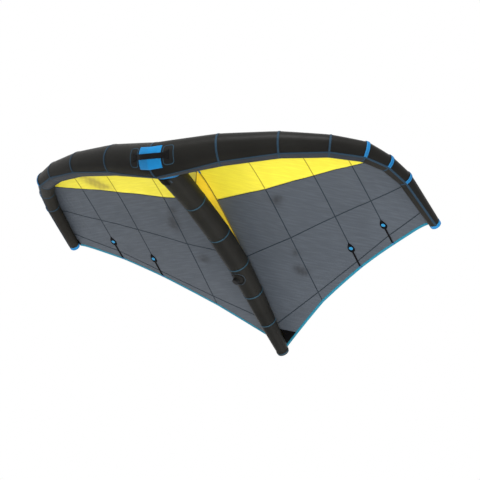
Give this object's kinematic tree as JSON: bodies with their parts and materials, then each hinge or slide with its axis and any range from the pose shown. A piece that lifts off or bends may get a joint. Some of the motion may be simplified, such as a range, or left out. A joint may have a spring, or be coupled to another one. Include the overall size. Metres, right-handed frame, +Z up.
{
  "type": "wingfoil wing",
  "caption": "Inflatable hand-held wing: a bent tapering leading edge tube and a centre strut carry a cambered canopy with a front handle, valve and trailing edge battens.",
  "frame": {"origin": "middle of the bounding box at its lowest level, under the strut", "axes": "+Z up as the wing is flown, canopy on top; -Y towards the nose; +X towards the wing's left tip as seen from the front (the picture's right)"},
  "size_m": [2.729, 2.0144, 0.4279],
  "materials": {
    "tube_cloth": "matt, fine weave",
    "bladder_film": "clear film",
    "canopy_yellow": "ripstop",
    "canopy_grey": "ripstop",
    "web_yellow": "ripstop",
    "bright_blue": "coated cloth",
    "hem_teal": "woven tape",
    "black_webbing": "woven",
    "black_plastic": "moulded",
    "plunger_rubber": "smooth",
    "glass_fibre": "pultruded"
  },
  "bodies": {
    "wing": {"batten_1_left": "glass_fibre", "batten_1_right": "glass_fibre", "batten_2_left": "glass_fibre", "batten_2_right": "glass_fibre", "batten_pocket_1_left": "black_webbing", "batten_pocket_1_right": "black_webbing", "batten_pocket_2_left": "black_webbing", "batten_pocket_2_right": "black_webbing", "canopy_front_left": "canopy_yellow", "canopy_front_right": "canopy_yellow", "canopy_rear_left": "canopy_grey", "canopy_rear_right": "canopy_grey", "canopy_web": "web_yellow", "handle_anchor_left": "black_webbing", "handle_anchor_right": "black_webbing", "handle_pad": "bright_blue", "handle_strap": "black_webbing", "hose_clamp_front": "black_plastic", "hose_clamp_rear": "black_plastic", "joint_band_4_left": "bright_blue", "joint_band_4_right": "bright_blue", "joint_band_5_left": "bright_blue", "joint_band_5_right": "bright_blue", "joint_band_6_left": "bright_blue", "joint_band_6_right": "bright_blue", "leading_edge_bladder": "bladder_film", "leading_edge_left_1": "tube_cloth", "leading_edge_left_2": "tube_cloth", "leading_edge_left_3": "tube_cloth", "leading_edge_left_4": "tube_cloth", "leading_edge_left_5": "tube_cloth", "leading_edge_left_6": "tube_cloth", "leading_edge_left_7": "tube_cloth", "leading_edge_right_1": "tube_cloth", "leading_edge_right_2": "tube_cloth", "leading_edge_right_3": "tube_cloth", "leading_edge_right_4": "tube_cloth", "leading_edge_right_5": "tube_cloth", "leading_edge_right_6": "tube_cloth", "leading_edge_right_7": "tube_cloth", "one_pump_hose": "bladder_film", "strut_bladder": "bladder_film", "strut_casing": "tube_cloth", "strut_collar": "bright_blue", "strut_tail_cap": "tube_cloth", "tail_patch_left": "black_webbing", "tail_patch_right": "black_webbing", "tip_cap_left": "bright_blue", "tip_cap_right": "bright_blue", "tip_patch_left": "black_webbing", "tip_patch_right": "black_webbing", "trailing_hem_left": "hem_teal", "trailing_hem_right": "hem_teal", "valve_body": "black_plastic", "valve_hinge_pin": "black_plastic", "valve_patch": "tube_cloth"},
    "flip_cap": {"valve_cap": "black_plastic"},
    "valve_core": {"valve_plunger": "plunger_rubber"}
  },
  "joints": [
    {"name": "cap_flip", "type": "hinge", "parent": "wing", "child": "flip_cap", "pos_m": [-0.02289, 0.28441, 0.10882], "axis": [0.9562, -0.0345, -0.2906], "range_deg": [0, 120]},
    {"name": "plunger_push", "type": "slide", "parent": "wing", "child": "valve_core", "axis": [0.2925, 0.085, 0.9525], "range_m": [0, 0.004], "stiffness_N_per_m": 400}
  ]
}
